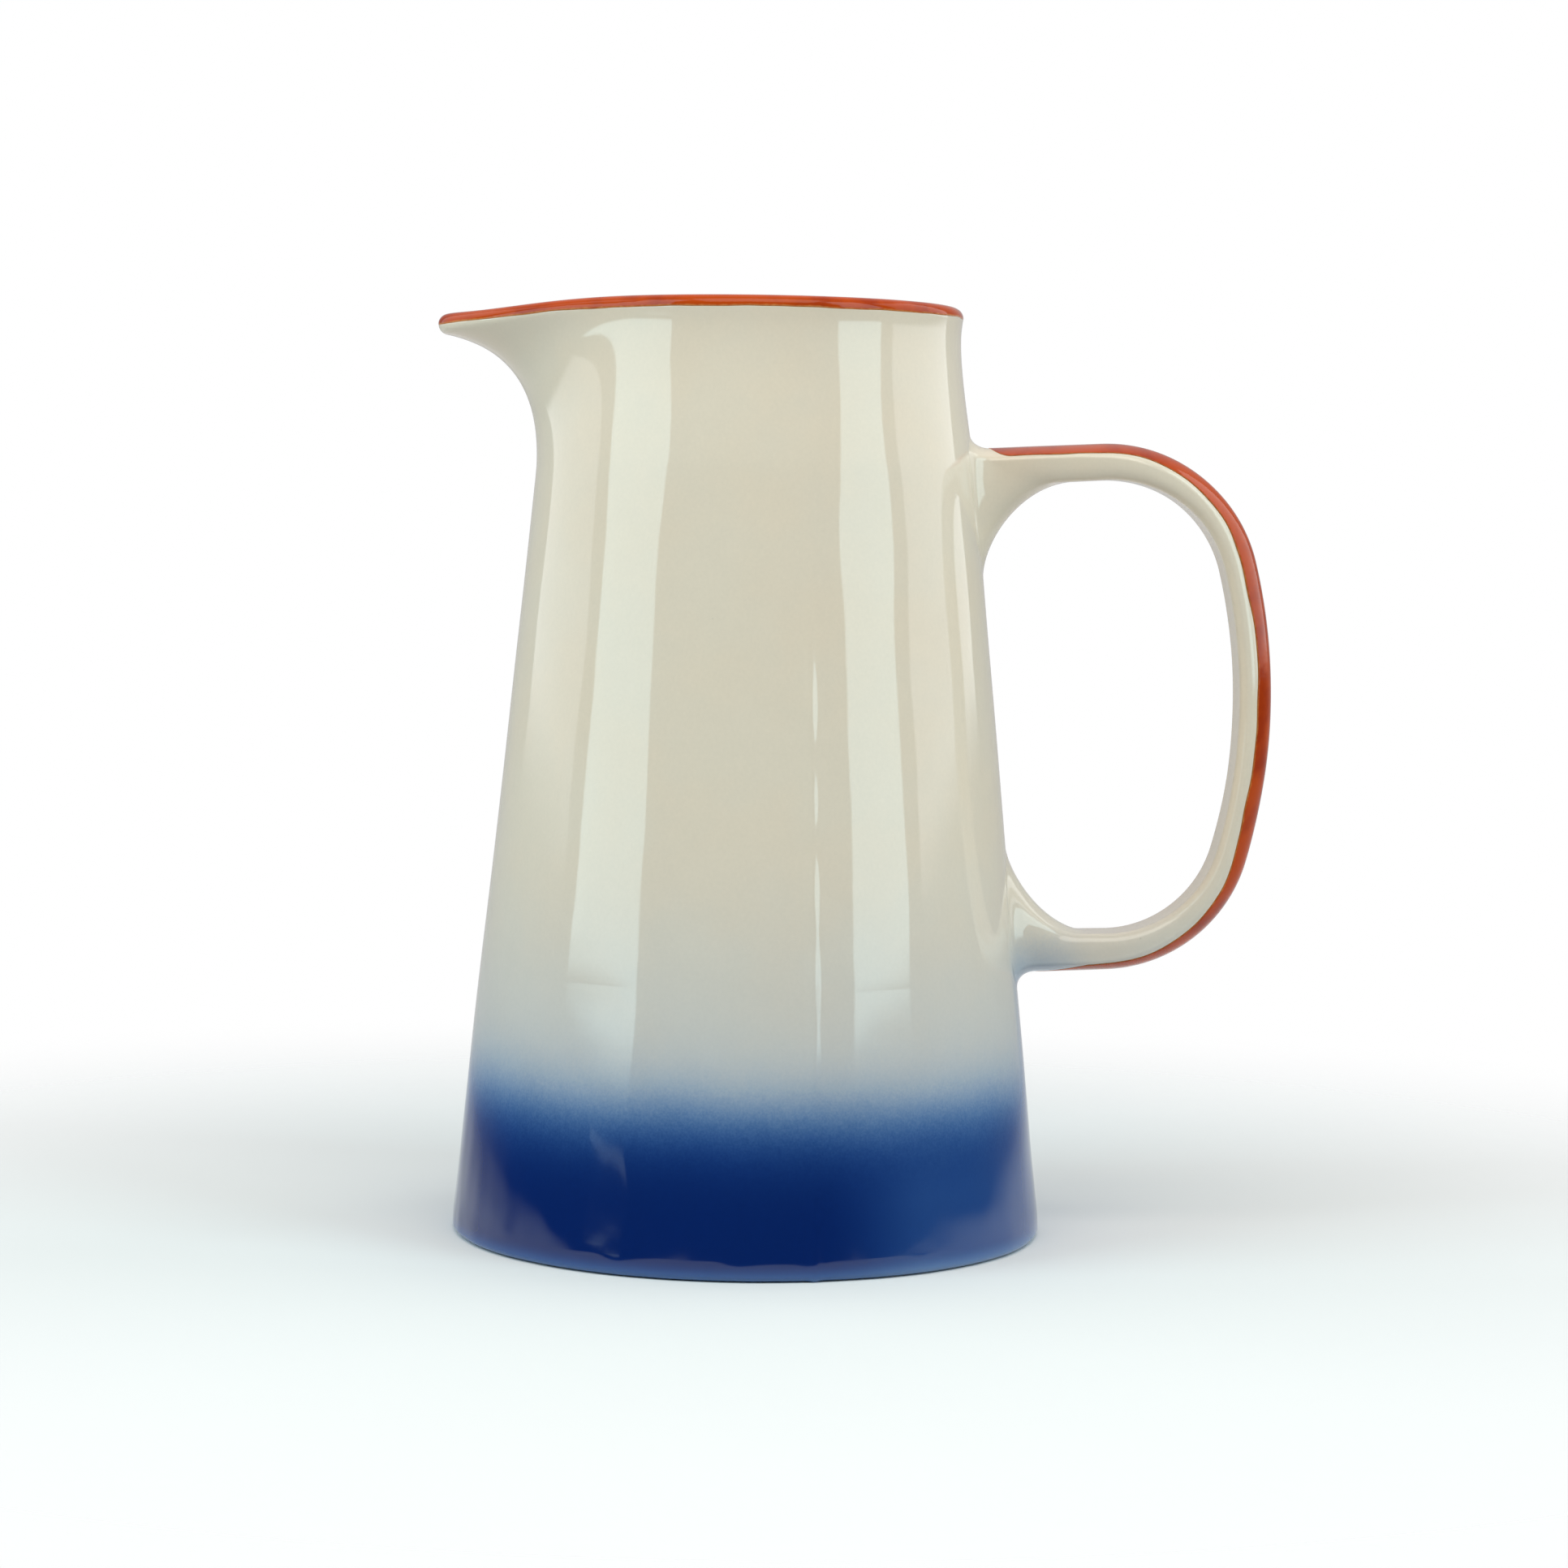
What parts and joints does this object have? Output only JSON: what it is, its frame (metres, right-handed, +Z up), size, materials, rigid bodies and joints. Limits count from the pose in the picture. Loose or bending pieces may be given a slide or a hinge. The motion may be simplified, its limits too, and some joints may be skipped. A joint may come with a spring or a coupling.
{
  "type": "ceramic pitcher",
  "caption": "Tapered stoneware pitcher with a beak spout, a D-shaped strap handle, a sprayed blue base fading upward and a painted rim and handle stripe.",
  "frame": {"origin": "centre of the foot ring's flat underside, on the table", "axes": "+Z up, spout towards -X, handle towards +X, Y across the jug"},
  "size_m": [0.2087, 0.1464, 0.23],
  "materials": {
    "cream_glaze": "glossy cream glaze with faint specks",
    "blue_glaze": "glossy deep blue glaze, fading upward",
    "orange_enamel": "glossy burnt orange enamel",
    "bare_clay": "matt unglazed stoneware"
  },
  "bodies": {
    "root": {"body": "cream_glaze", "spout": "cream_glaze", "handle": "cream_glaze", "upper_handle_joint": "cream_glaze", "lower_handle_joint": "cream_glaze", "foot_ring": "bare_clay", "base_coat": "blue_glaze", "rim_band": "orange_enamel", "handle_stripe": "orange_enamel"}
  },
  "joints": []
}
